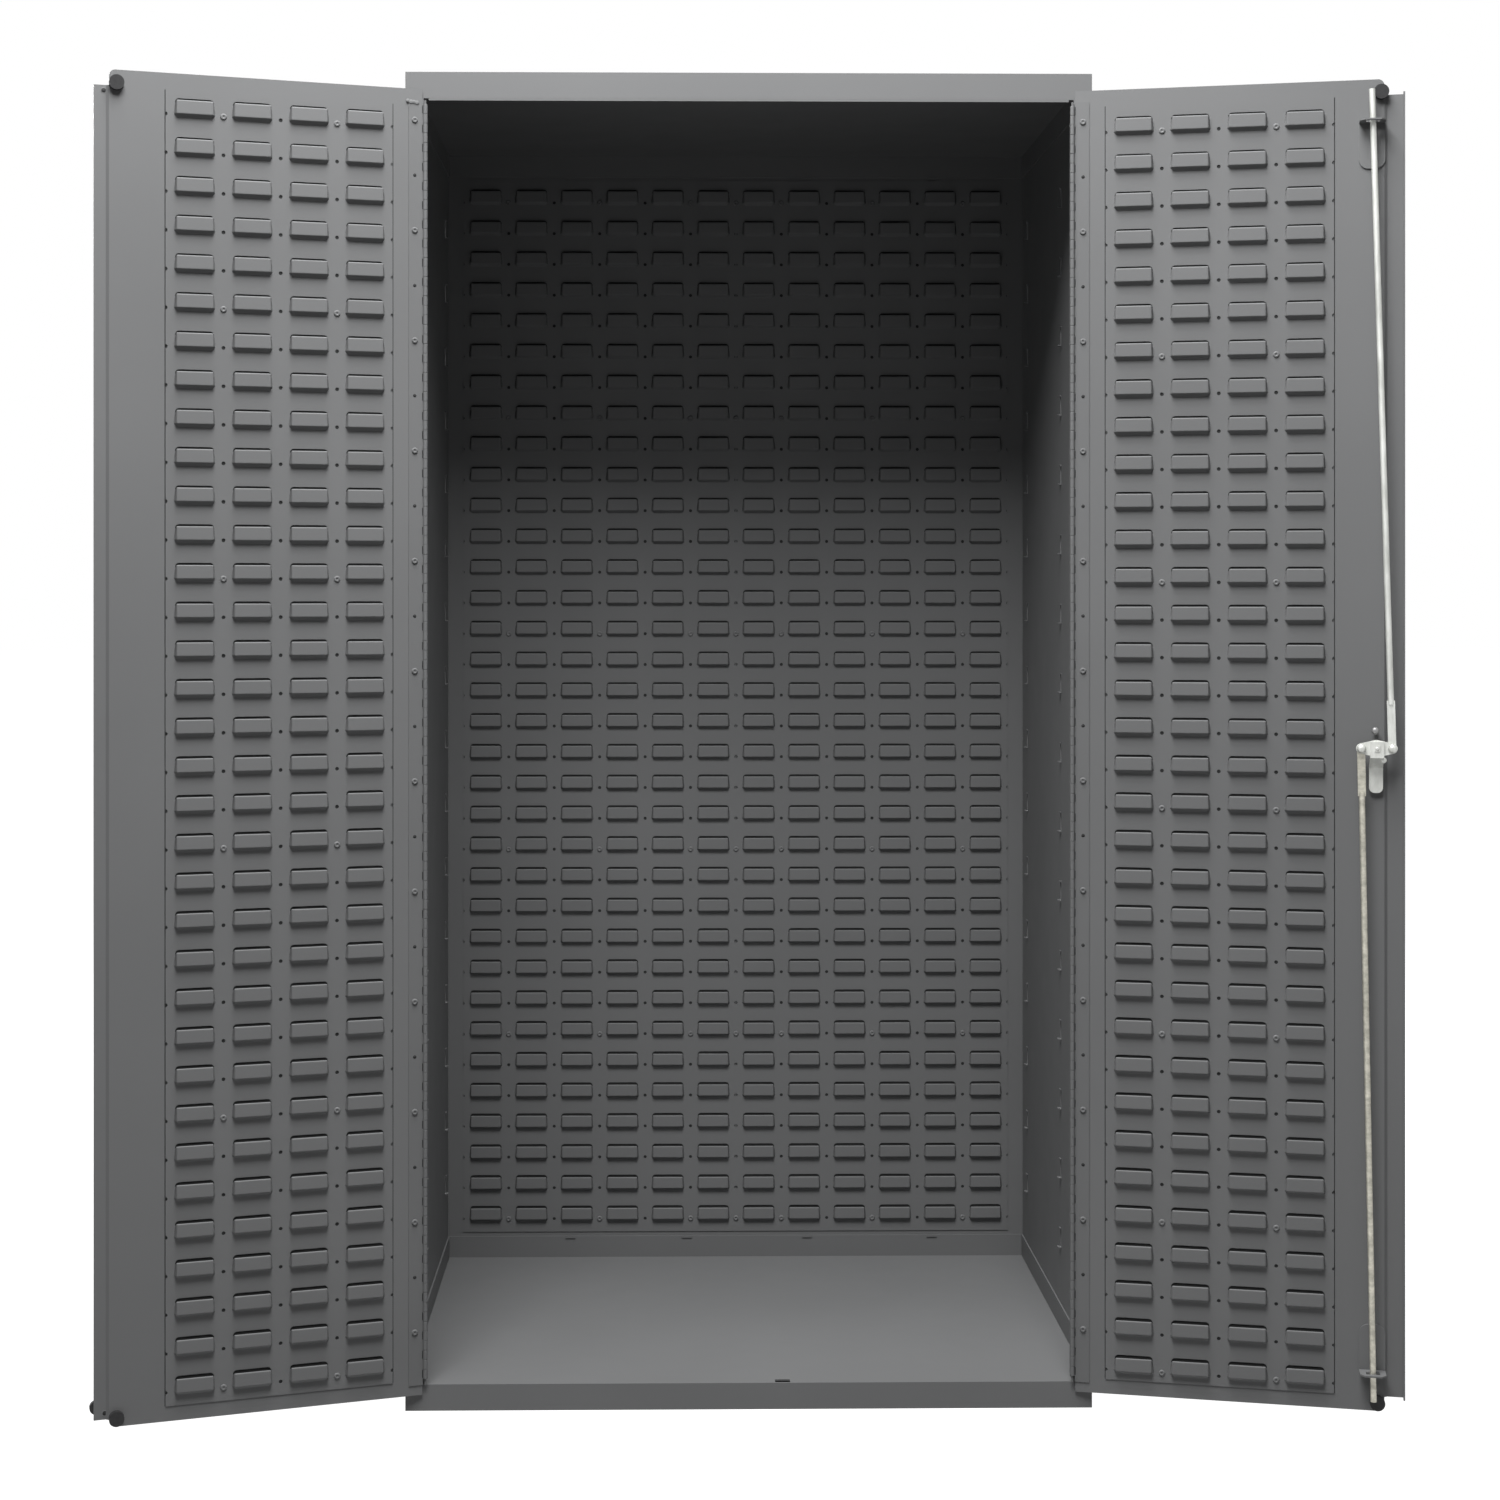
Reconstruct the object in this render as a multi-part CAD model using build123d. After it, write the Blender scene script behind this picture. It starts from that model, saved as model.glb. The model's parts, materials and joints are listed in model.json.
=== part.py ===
from build123d import *
import math
import os

# Louvered storage cabinet with two swing doors, millimetres, +Z up, front towards -Y.
# The origin is the middle of the footprint, on the floor.

# Cabinet shell
cabinet_width = 914.0
cabinet_depth = 610.0
cabinet_height = 1778.0
sheet = 2.0
overrun = 5.0
post_width = 24.5
post_return_depth = 30.0
header_height = 35.0
sill_height = 35.0
tray_flange_height = 33.0
tray_notch_gap = 2.0
seat_gap = 0.3
support_width = 60.0
support_length = 840.0

# Shelf slots in the side walls
slot_width = 8.0
slot_height = 27.0
slot_rows = 16
slot_first_height = 161.0
slot_last_drop = 127.0
slot_front_setback = 240.0
slot_back_setback = 53.0

# Louvered panels
panel_sheet = 1.2
louver_rise = 6.0
louver_height = 22.0
louver_width = 50.0
louver_rows = 34
throat_share = 0.55
back_columns = 12
back_side_margin = 25.6
back_panel_rise = 40.0
back_panel_drop = 40.0
back_louver_foot = 16.5
back_louver_headroom = 39.4
door_columns = 4
door_panel_setback = 43.5
door_panel_edge = 89.4
door_panel_rise = 19.6
door_panel_drop = 21.6
door_louver_foot = 10.9
door_louver_headroom = 37.3

# Continuous hinges
knuckle_radius = 2.6
leaf_sheet = 1.2
pin_radius = 1.3
pin_clearance = 0.05
knuckle_gap = 0.4
knuckles = 7
knuckle_sides = 12
leaf_notch = 3.1
door_leaf_width = 22.0
frame_leaf_depth = 25.0
hinge_inset = 1.0
hinge_top_drop = 4.0
door_swing_clearance = 0.5

# Doors
sill_overlap = 12.5
header_overlap = 11.0
door_edge_gap = 3.0
door_hinge_setback = 3.5
corner_notch_top = 20.0
corner_notch_left = 9.5
corner_notch_right = 18.5
corner_radius = 8.0
strip_width_left = 19.0
strip_width_right = 26.0
strip_bend = 4.0
strip_step = 3.0
strip_lip = 6.0
lip_overhang = 3.0
left_open_deg = 163.0
right_open_deg = 168.0

# Rubber bumpers
bumper_radius = 9.6
bumper_edge = 9.0
bumper_edge_top_right = 4.0
bumper_drop = 17.0
bumper_rise = 11.5
outer_bumper_radius = 8.5
outer_bumper_overhang = 5.0
outer_bumper_height = 7.0
outer_bumper_rise = 24.5

# Three-point latch on the right door
latch_height = 885.0
cam_edge = 37.0
cam_arm = 19.5
cam_sheet = 3.0
ear_radius = 6.5
hub_radius = 11.0
spindle_side = 7.0
spindle_clearance = 0.1
escutcheon_length = 66.0
escutcheon_sheet = 5.0
handle_hub_radius = 15.0
handle_hub_length = 14.0
handle_length = 118.0
handle_width = 16.0
handle_thickness = 8.0
handle_tip_share = 0.75
running_gap = 0.3
finger_head = 9.0
finger_length = 58.5
finger_width = 17.5
finger_thickness = 4.0
finger_tip_radius = 7.0
finger_lift = 2.0
finger_elbow_start = 12.0
finger_elbow_end = 26.0
rod_radius = 4.0
rod_standoff = 16.0
rod_end_length = 57.0
rod_end_width = 10.0
rod_end_thickness = 4.0
rod_pin_radius = 3.0
rod_pin_clearance = 0.1
rod_pin_sides = 12
guide_lean = 4.5
guide_drop = 55.0
guide_rise = 51.5
guide_width = 33.0
guide_base_length = 61.0
guide_corner = 12.0
guide_reach = 28.0
guide_slot_width = 17.6
guide_slot_depth = 9.6
rod_tip_gap = 4.5
strike_width = 20.0
strike_clearance = 1.5

# Places worked out from the sizes above
half_width = cabinet_width / 2
front = -cabinet_depth / 2
back = cabinet_depth / 2
opening_half = half_width - post_width
hinge_x = opening_half - knuckle_radius
hinge_y = front - knuckle_radius - sheet - door_swing_clearance
hinge_bottom = sill_height + hinge_inset
hinge_top = cabinet_height - header_height - hinge_top_drop
slot_pitch = (cabinet_height - slot_last_drop - slot_first_height) / (slot_rows - 1)
back_bottom = sill_height + back_panel_rise
back_height = cabinet_height - back_panel_drop - back_bottom
door_bottom = sill_height - sill_overlap
door_top = cabinet_height - header_height + header_overlap
door_width = hinge_x - door_edge_gap
door_inner = -knuckle_radius
door_outer = door_inner - sheet
strip_inner = door_inner - strip_step
strip_outer = strip_inner - sheet
cam_setback = door_width - cam_edge
guide_setback = cam_setback - guide_lean
guide_height_top = door_top - guide_drop
guide_height_bottom = door_bottom + guide_rise
rod_tip_top = cabinet_height - header_height - rod_tip_gap
rod_tip_bottom = sill_height + rod_tip_gap
rod_y = door_inner + rod_standoff
cam_y = rod_y + rod_end_thickness / 2 + running_gap
cam_face = cam_y + cam_sheet
spindle_bore = spindle_side * math.sqrt(2) / 2 + spindle_clearance


def slab(x0, x1, y0, y1, z0, z1):
    """A rectangular solid between two opposite corners."""
    block = Box(x1 - x0, y1 - y0, z1 - z0)
    return Pos((x0 + x1) / 2, (y0 + y1) / 2, (z0 + z1) / 2) * block


def rod_between(start, end, radius):
    """A round bar from one point to another."""
    axis = Vector(*end) - Vector(*start)
    plane = Plane(origin=start, z_dir=axis)
    return extrude(plane * Circle(radius), axis.length)


def disc(x, y0, y1, z, radius):
    """A round disc or bar that runs along Y."""
    return rod_between((x, y0, z), (x, y1, z), radius)


# Cabinet shell


def slot_heights():
    return [slot_first_height + row * slot_pitch for row in range(slot_rows)]


def side_panel():
    """The left side: one bent sheet of wall, front post and post return, with shelf slots."""
    roof = cabinet_height - sheet
    wall = slab(-half_width, -half_width + sheet, front, back, 0, roof)
    post = slab(-half_width, -opening_half, front, front + sheet, 0, roof)
    post_return = slab(
        -opening_half - sheet, -opening_half, front, front + post_return_depth, 0, roof
    )
    panel = wall + post + post_return
    slots = []
    for y in (front + slot_front_setback, back - slot_back_setback):
        for z in slot_heights():
            slots.append(
                slab(
                    -half_width - overrun,
                    -half_width + sheet + overrun,
                    y - slot_width / 2,
                    y + slot_width / 2,
                    z - slot_height / 2,
                    z + slot_height / 2,
                )
            )
    return panel - slots


def tray(face_height):
    """The floor tray, deck upwards: deck, front face, and the side and rear flanges."""
    deck_low = face_height - sheet
    flange_top = face_height + tray_flange_height
    inner_half = half_width - sheet
    notch_back = front + post_return_depth + tray_notch_gap
    tray_back = back - sheet
    face = slab(-opening_half, opening_half, front, front + sheet, 0, face_height)
    lip = slab(-opening_half, opening_half, front, notch_back, deck_low, face_height)
    deck = slab(-inner_half, inner_half, notch_back, tray_back, deck_low, face_height)
    rear = slab(-inner_half, inner_half, tray_back - sheet, tray_back, deck_low, flange_top)
    left = slab(-inner_half, -inner_half + sheet, notch_back, tray_back, deck_low, flange_top)
    right = slab(inner_half - sheet, inner_half, notch_back, tray_back, deck_low, flange_top)
    return face + lip + deck + rear + left + right


def base_tray():
    """The floor tray with the hole that the lower lock rod drops into."""
    rod_x = hinge_x - guide_setback
    strike_y = hinge_y + rod_y
    hole_front = strike_y - rod_radius - strike_clearance
    hole_back = strike_y + rod_radius + strike_clearance
    hole = slab(
        rod_x - strike_width / 2,
        rod_x + strike_width / 2,
        hole_front,
        hole_back,
        sill_height - sheet - overrun,
        sill_height + overrun,
    )
    return tray(sill_height) - hole


def roof_tray():
    """The roof: a sheet over the whole top, a front header and flanges that hang inside."""
    low = cabinet_height - sheet
    inner_half = half_width - sheet
    tray_back = back - sheet
    notch_back = front + post_return_depth + tray_notch_gap
    flange_low = low - tray_flange_height
    header_low = cabinet_height - header_height
    roof = slab(-half_width, half_width, front, back, low, cabinet_height)
    header = slab(-opening_half, opening_half, front, front + sheet, header_low, low)
    rear = slab(-inner_half, inner_half, tray_back - sheet, tray_back, flange_low, low)
    left = slab(-inner_half, -inner_half + sheet, notch_back, tray_back, flange_low, low)
    right = slab(inner_half - sheet, inner_half, notch_back, tray_back, flange_low, low)
    return roof + header + rear + left + right


def back_panel():
    inner_half = half_width - sheet
    return slab(-inner_half, inner_half, back - sheet, back, 0, cabinet_height - sheet)


def floor_support():
    """The channel under the middle of the deck."""
    half = support_width / 2
    length = support_length / 2
    top = sill_height - sheet
    web = slab(-length, length, -half, half, 0, sheet)
    near = slab(-length, length, -half, -half + sheet, 0, top)
    far = slab(-length, length, half - sheet, half, 0, top)
    return web + near + far


# Louvers


def louver():
    """One pressed louver, standing out to +Y from the plane y = 0, its open lip upwards.

    Its foot is at z = 0. The face leans out of the sheet, and the throat behind the lip
    takes the hook of a bin.
    """
    throat = throat_share * louver_height
    outline = Polyline((0, 0), (louver_rise, louver_height), (0, throat), close=True)
    profile = Plane.YZ * make_face(outline)
    return Pos(-louver_width / 2, 0, 0) * extrude(profile, louver_width)


def louver_panel(columns, width, height, foot, headroom):
    """A flat sheet in 0 <= y <= panel_sheet with a grid of louvers on its +Y face."""
    panel = slab(-width / 2, width / 2, 0, panel_sheet, 0, height)
    shape = louver()
    column_pitch = width / columns
    row_pitch = (height - foot - headroom) / (louver_rows - 1)
    grid = []
    for row in range(louver_rows):
        for column in range(columns):
            x = (column - (columns - 1) / 2) * column_pitch
            grid.append(Pos(x, panel_sheet, foot + row * row_pitch) * shape)
    return panel + grid


def back_louver_panels():
    """Two panels side by side on the back sheet, louvers towards the front."""
    width = half_width - back_side_margin
    columns = back_columns // 2
    panel = louver_panel(columns, width, back_height, back_louver_foot, back_louver_headroom)
    turned = Rot(0, 0, 180) * panel
    seat = back - sheet
    left = Pos(-width / 2, seat, back_bottom) * turned
    right = Pos(width / 2, seat, back_bottom) * turned
    return left, right


def door_louver_panel():
    """The panel on a door, in the door's own frame."""
    low = door_bottom + door_panel_rise
    height = door_top - door_panel_drop - low
    width = door_width - door_panel_setback - door_panel_edge
    panel = louver_panel(door_columns, width, height, door_louver_foot, door_louver_headroom)
    return Pos(door_panel_setback + width / 2, door_inner, low) * panel


# Hinges, in the door's own frame: axis on Z through the origin, closed door along +X,
# inner side of the door towards +Y


def knuckle_spans():
    """The lower and upper end of each knuckle, from the bottom up."""
    length = (hinge_top - hinge_bottom) / knuckles
    spans = []
    for i in range(knuckles):
        low = hinge_bottom + i * length
        spans.append((low + knuckle_gap / 2, low + length - knuckle_gap / 2))
    return spans


def hinge_leaf(flat, tab, spans):
    """A leaf: its flat plate, and a rolled knuckle on a tab at each span that it owns."""
    bore = RegularPolygon(pin_radius + pin_clearance, knuckle_sides, major_radius=False)
    roll = RegularPolygon(knuckle_radius, knuckle_sides)
    section = (roll + tab) - bore
    leaf = extrude(Pos(0, 0, hinge_bottom) * flat, hinge_top - hinge_bottom)
    for low, high in spans:
        leaf = leaf + extrude(Pos(0, 0, low) * section, high - low)
    return leaf


def section_box(x0, x1, y0, y1):
    """A rectangle in plan between two opposite corners."""
    return Pos((x0 + x1) / 2, (y0 + y1) / 2) * Rectangle(x1 - x0, y1 - y0)


def door_leaf():
    top = door_inner + leaf_sheet
    flat = section_box(leaf_notch, door_leaf_width, door_inner, top)
    tab = section_box(0, leaf_notch, door_inner, top)
    return hinge_leaf(flat, tab, knuckle_spans()[1::2])


def frame_leaf():
    depth = front - hinge_y + frame_leaf_depth
    inside = -knuckle_radius + leaf_sheet
    flat = section_box(-knuckle_radius, inside, leaf_notch, depth)
    tab = section_box(-knuckle_radius, inside, 0, leaf_notch)
    return hinge_leaf(flat, tab, knuckle_spans()[0::2])


def hinge_pin():
    pin = Pos(0, 0, hinge_bottom) * RegularPolygon(pin_radius, knuckle_sides)
    return extrude(pin, hinge_top - hinge_bottom)


# Doors, in the same frame


def door_plate(flat_edge):
    """The flat of a door, with rounded outer corners beyond the ends of its edge strip."""
    plate = slab(door_hinge_setback, flat_edge, door_outer, door_inner, door_bottom, door_top)
    corners = plate.edges().filter_by(Axis.Y).group_by(Axis.X)[-1]
    return fillet(corners, corner_radius)


def edge_strip(flat_edge, notch):
    """The free edge: a bend outwards and the strip, ending short of the door's ends."""
    strip_start = flat_edge + strip_bend
    bend = make_face(
        Polyline(
            (flat_edge - strip_bend, door_outer),
            (flat_edge - strip_bend, door_inner),
            (flat_edge, door_inner),
            (strip_start, strip_inner),
            (strip_start, strip_outer),
            (flat_edge, door_outer),
            close=True,
        )
    )
    section = bend + section_box(strip_start, door_width, strip_outer, strip_inner)
    low = door_bottom + notch
    return extrude(Pos(0, 0, low) * section, door_top - corner_notch_top - low)


def edge_lip(notch):
    """The lip that turns inwards along the strip and runs on past its ends."""
    low = door_bottom + notch - lip_overhang
    high = door_top - corner_notch_top + lip_overhang
    return slab(door_width - sheet, door_width, strip_outer, strip_outer + strip_lip, low, high)


def door_shell(strip_width, notch):
    flat_edge = door_width - strip_width
    return door_plate(flat_edge) + edge_strip(flat_edge, notch)


def right_door_shell():
    """The right door, with its lip and the hole for the latch spindle."""
    y0 = door_outer - overrun
    y1 = door_inner + overrun
    hole = disc(cam_setback, y0, y1, latch_height, spindle_bore)
    shell = door_shell(strip_width_right, corner_notch_right) + edge_lip(corner_notch_right)
    return shell - hole


def inner_bumpers(strip_width, top_edge):
    """The two buttons inside a door, which just meet the header and sill when it is shut."""
    flat_edge = door_width - strip_width
    y1 = front - hinge_y - seat_gap
    low_z = door_bottom + bumper_rise
    low = disc(flat_edge - bumper_edge, door_inner, y1, low_z, bumper_radius)
    high = disc(flat_edge - top_edge, door_inner, y1, door_top - bumper_drop, bumper_radius)
    return low + high


def outer_bumper():
    """The button on the outside of the left door, near its lower free corner."""
    x = door_width + outer_bumper_overhang - outer_bumper_radius
    y0 = strip_outer - outer_bumper_height
    return disc(x, y0, strip_outer, door_bottom + outer_bumper_rise, outer_bumper_radius)


# Latch, in the right door's frame before it is mirrored


def on_front(x, z):
    """A sketch plane that faces into the cabinet, with its origin at (x, z) in the door."""
    return Plane(origin=(x, 0, z), x_dir=(1, 0, 0), z_dir=(0, -1, 0))


def plate_between(sketch, x, z, y0, y1):
    """A plate from y0 to y1, drawn on the front plane at (x, z)."""
    return Pos(0, y1, 0) * extrude(on_front(x, z) * sketch, y1 - y0)


def latch_cam():
    """The cam: a hub with two ears, and the rivets on which the rods turn."""
    outline = Circle(hub_radius).edges()
    for side in (-1, 1):
        outline = outline + (Pos(side * cam_arm, 0) * Circle(ear_radius)).edges()
    face = make_hull(outline) - Rectangle(spindle_side, spindle_side)
    cam = plate_between(face, cam_setback, latch_height, cam_y, cam_face)
    rivet = RegularPolygon(rod_pin_radius, rod_pin_sides)
    rivet_end = rod_y - rod_end_thickness / 2
    for side in (-1, 1):
        x = cam_setback + side * cam_arm
        cam = cam + plate_between(rivet, x, latch_height, rivet_end, cam_y)
    return cam


def latch_finger():
    """The centre bolt: a bar over the cam, cranked back to swing behind the other door."""
    y_root = cam_face
    y_tip = door_inner + finger_lift
    outline = Polyline(
        (y_root, finger_head),
        (y_root + finger_thickness, finger_head),
        (y_root + finger_thickness, -finger_elbow_start),
        (y_tip + finger_thickness, -finger_elbow_end),
        (y_tip + finger_thickness, -finger_length),
        (y_tip, -finger_length),
        (y_tip, -finger_elbow_end),
        (y_root, -finger_elbow_start),
        close=True,
    )
    bar = extrude(Plane.YZ * make_face(outline), finger_width)
    bar = Pos(cam_setback - finger_width / 2, 0, latch_height) * bar
    tip = bar.edges().filter_by(Axis.Y).group_by(Axis.Z)[0]
    bar = fillet(tip, finger_tip_radius)
    return bar - spindle()


def spindle():
    """The square bar that joins the handle to the cam and the finger."""
    y0 = door_outer - escutcheon_sheet - running_gap
    side = Rectangle(spindle_side, spindle_side)
    return plate_between(side, cam_setback, latch_height, y0, cam_face + finger_thickness)


def escutcheon():
    """The narrow plate outside the door that the spindle turns in, beside the edge strip."""
    half = door_width - strip_width_right - seat_gap - cam_setback
    face = Rectangle(2 * half, escutcheon_length) - Circle(spindle_bore)
    y0 = door_outer - escutcheon_sheet
    return plate_between(face, cam_setback, latch_height, y0, door_outer)


def handle():
    """The lever outside: a hub and a tapered arm towards the hinge side while unlatched."""
    y1 = door_outer - escutcheon_sheet - running_gap
    y0 = y1 - handle_hub_length
    root = handle_width / 2
    tip = root * handle_tip_share
    hub = plate_between(Circle(handle_hub_radius), cam_setback, latch_height, y0, y1)
    arm = make_face(
        Polyline((0, root), (-handle_length, tip), (-handle_length, -tip), (0, -root), close=True)
    )
    return hub + plate_between(arm, cam_setback, latch_height, y0, y0 + handle_thickness)


def lock_rod(side, guide_z, tip_z):
    """A lock rod: a flat eye on the cam's ear, then a round bar through its guide."""
    pin = Vector(cam_setback + side * cam_arm, rod_y, latch_height)
    guide = Vector(guide_setback, rod_y, guide_z)
    along = (guide - pin).normalized()
    joint = pin + along * rod_end_length
    tip = pin + along * ((tip_z - latch_height) / along.Z)
    bar = rod_between(tuple(joint), tuple(tip), rod_radius)
    flat_plane = Plane(origin=tuple(pin), x_dir=tuple(along), z_dir=(0, 1, 0))
    flat_length = rod_end_length + rod_end_width / 2
    flat = Pos(flat_length / 2, 0) * Rectangle(flat_length, rod_end_width)
    flat = flat + Circle(rod_end_width / 2) - Circle(rod_pin_radius + rod_pin_clearance)
    return extrude(flat_plane * flat, rod_end_thickness / 2, both=True) + bar


def rod_guide(z, towards_cam):
    """An angle bracket: a rounded base on the door and a flange with a slot for the rod."""
    x0 = guide_setback - guide_width / 2
    x1 = guide_setback + guide_width / 2
    base_end = z + towards_cam * guide_base_length
    base = slab(x0, x1, door_inner, door_inner + sheet, min(z, base_end), max(z, base_end))
    corners = base.edges().filter_by(Axis.Y).group_by(Axis.Z)
    base = fillet(corners[0] if towards_cam < 0 else corners[-1], guide_corner)
    inner_z = z + towards_cam * sheet
    flange = slab(x0, x1, door_inner, door_inner + guide_reach, min(z, inner_z), max(z, inner_z))
    corners = flange.edges().filter_by(Axis.Z).group_by(Axis.Y)[-1]
    flange = chamfer(corners, guide_corner / 2)
    slot = slab(
        guide_setback - guide_slot_width / 2,
        guide_setback + guide_slot_width / 2,
        rod_y - guide_slot_depth / 2,
        rod_y + guide_slot_depth / 2,
        z - overrun,
        z + overrun,
    )
    return base + flange - slot


# Placing and writing


def place_left(shape, turned=True):
    """Put a left door piece in the cabinet, open as far as it rests."""
    angle = -left_open_deg if turned else 0
    return Pos(-hinge_x, hinge_y, 0) * Rot(0, 0, angle) * shape


def place_right(shape, turned=True):
    angle = right_open_deg if turned else 0
    return Pos(hinge_x, hinge_y, 0) * Rot(0, 0, angle) * mirror(shape, Plane.YZ)


def build():
    left_wall = side_panel()
    panel = door_louver_panel()
    back_left, back_right = back_louver_panels()
    leaf = door_leaf()
    fixed_leaf = frame_leaf()
    pin = hinge_pin()
    left_bumpers = inner_bumpers(strip_width_left, bumper_edge) + outer_bumper()
    right_bumpers = inner_bumpers(strip_width_right, bumper_edge_top_right)
    return {
        "side_panel_left": left_wall,
        "side_panel_right": mirror(left_wall, Plane.YZ),
        "base_tray": base_tray(),
        "roof_tray": roof_tray(),
        "back_panel": back_panel(),
        "floor_support": floor_support(),
        "back_louver_panel_left": back_left,
        "back_louver_panel_right": back_right,
        "frame_leaf_left": place_left(fixed_leaf, turned=False),
        "frame_leaf_right": place_right(fixed_leaf, turned=False),
        "hinge_pin_left": place_left(pin, turned=False),
        "hinge_pin_right": place_right(pin, turned=False),
        "door_leaf_left": place_left(leaf),
        "door_leaf_right": place_right(leaf),
        "door_left": place_left(door_shell(strip_width_left, corner_notch_left)),
        "door_right": place_right(right_door_shell()),
        "door_louver_panel_left": place_left(panel),
        "door_louver_panel_right": place_right(panel),
        "bumpers_left": place_left(left_bumpers),
        "bumpers_right": place_right(right_bumpers),
        "rod_guide_top": place_right(rod_guide(guide_height_top, -1)),
        "rod_guide_bottom": place_right(rod_guide(guide_height_bottom, 1)),
        "escutcheon": place_right(escutcheon()),
        "latch_cam": place_right(latch_cam()),
        "latch_finger": place_right(latch_finger()),
        "latch_spindle": place_right(spindle()),
        "door_handle": place_right(handle()),
        "lock_rod_upper": place_right(lock_rod(1, guide_height_top, rod_tip_top)),
        "lock_rod_lower": place_right(lock_rod(-1, guide_height_bottom, rod_tip_bottom)),
    }


os.makedirs("parts", exist_ok=True)
for name, shape in build().items():
    export_step(shape, "parts/" + name + ".step")
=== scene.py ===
import json
import math

import bpy
from mathutils import Matrix, Vector

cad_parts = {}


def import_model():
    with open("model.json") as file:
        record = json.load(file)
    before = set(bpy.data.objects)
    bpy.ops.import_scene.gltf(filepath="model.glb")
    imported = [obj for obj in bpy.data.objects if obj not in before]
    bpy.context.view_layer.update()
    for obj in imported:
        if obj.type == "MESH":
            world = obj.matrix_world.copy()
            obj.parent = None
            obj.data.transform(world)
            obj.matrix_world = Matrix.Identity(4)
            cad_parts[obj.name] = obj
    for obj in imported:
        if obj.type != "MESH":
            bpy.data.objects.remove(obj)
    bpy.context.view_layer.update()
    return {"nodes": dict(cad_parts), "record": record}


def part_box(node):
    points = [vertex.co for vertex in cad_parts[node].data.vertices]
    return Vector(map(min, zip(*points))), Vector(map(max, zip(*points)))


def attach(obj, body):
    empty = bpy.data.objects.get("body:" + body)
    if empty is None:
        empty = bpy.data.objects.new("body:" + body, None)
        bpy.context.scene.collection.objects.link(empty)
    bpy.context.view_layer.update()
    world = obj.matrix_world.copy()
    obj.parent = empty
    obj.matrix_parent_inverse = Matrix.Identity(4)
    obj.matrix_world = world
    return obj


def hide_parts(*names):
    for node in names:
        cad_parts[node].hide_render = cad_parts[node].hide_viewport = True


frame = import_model()

# A louvered storage cabinet with two open doors, dressed around its frame.

# Driving dimensions, as in the frame. Lengths are millimetres up to the section on the
# stage, which is in metres. Heights are above the floor, and the front faces towards -y.

MM = 0.001
CABINET_WIDTH = 914.0
CABINET_DEPTH = 610.0
CABINET_HEIGHT = 1778.0
SHEET = 2.0
POST_WIDTH = 24.5
HEADER_HEIGHT = 35.0
SILL_HEIGHT = 35.0
FLANGE_HEIGHT = 33.0

SLOT_HEIGHT = 27.0
SLOT_ROWS = 16
SLOT_FIRST = 161.0
SLOT_LAST_DROP = 127.0
SLOT_FRONT_SETBACK = 240.0
SLOT_BACK_SETBACK = 53.0

BACK_SIDE_MARGIN = 25.6
BACK_RISE = 40.0
BACK_DROP = 40.0
PANEL_SETBACK = 43.5
PANEL_EDGE = 89.4
PANEL_RISE = 19.6
PANEL_DROP = 21.6

AXIS_OFFSET = 2.6
SWING_CLEARANCE = 0.5
HINGE_INSET = 1.0
HINGE_DROP = 4.0
LEAF_SHEET = 1.2
LEAF_NOTCH = 3.1
DOOR_LEAF_WIDTH = 22.0
FRAME_LEAF_DEPTH = 25.0

SILL_OVERLAP = 12.5
HEADER_OVERLAP = 11.0
DOOR_EDGE_GAP = 3.0
STRIP_STEP = 3.0
LEFT_OPEN = math.radians(-163.0)
RIGHT_OPEN = math.radians(168.0)

LATCH_HEIGHT = 885.0
CAM_EDGE = 37.0
CAM_ARM = 19.5
CAM_SHEET = 3.0
ROD_STANDOFF = 16.0
ROD_END_THICKNESS = 4.0
RUNNING_GAP = 0.3
FINGER_THICKNESS = 4.0

# Places worked out from them. A door's own frame has the hinge's axis as its z, the shut
# door along +x and the inner side of the door towards +y.

HALF_WIDTH = CABINET_WIDTH / 2
FRONT = -CABINET_DEPTH / 2
BACK = CABINET_DEPTH / 2
HEADER_LOW = CABINET_HEIGHT - HEADER_HEIGHT
HINGE_X = HALF_WIDTH - POST_WIDTH - AXIS_OFFSET
HINGE_Y = FRONT - AXIS_OFFSET - SHEET - SWING_CLEARANCE
HINGE_LOW = SILL_HEIGHT + HINGE_INSET
HINGE_HIGH = HEADER_LOW - HINGE_DROP
DOOR_BOTTOM = SILL_HEIGHT - SILL_OVERLAP
DOOR_TOP = HEADER_LOW + HEADER_OVERLAP
DOOR_WIDTH = HINGE_X - DOOR_EDGE_GAP
DOOR_INNER = -AXIS_OFFSET
STRIP_INNER = DOOR_INNER - STRIP_STEP
LEAF_BACK = -AXIS_OFFSET
LEAF_FACE = LEAF_BACK + LEAF_SHEET
FRAME_LEAF_END = FRONT - HINGE_Y + FRAME_LEAF_DEPTH
CAM_X = DOOR_WIDTH - CAM_EDGE
ROD_Y = DOOR_INNER + ROD_STANDOFF
ROD_BACK = ROD_Y - ROD_END_THICKNESS / 2
CAM_FACE = ROD_Y + ROD_END_THICKNESS / 2 + RUNNING_GAP + CAM_SHEET
FINGER_FACE = CAM_FACE + FINGER_THICKNESS


def place_at(x, y, z):
    """A move from the origin, given in millimetres."""
    return Matrix.Translation((x * MM, y * MM, z * MM))


# The doors' frames, open as they rest and shut. The right door is the mirrored left one.
MIRROR = Matrix.Diagonal((-1, 1, 1, 1))
LEFT_SHUT = place_at(-HINGE_X, HINGE_Y, 0)
LEFT_FRAME = LEFT_SHUT @ Matrix.Rotation(LEFT_OPEN, 4, "Z")
RIGHT_SHUT = place_at(HINGE_X, HINGE_Y, 0) @ MIRROR
RIGHT_FRAME = place_at(HINGE_X, HINGE_Y, 0) @ Matrix.Rotation(RIGHT_OPEN, 4, "Z") @ MIRROR


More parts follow.
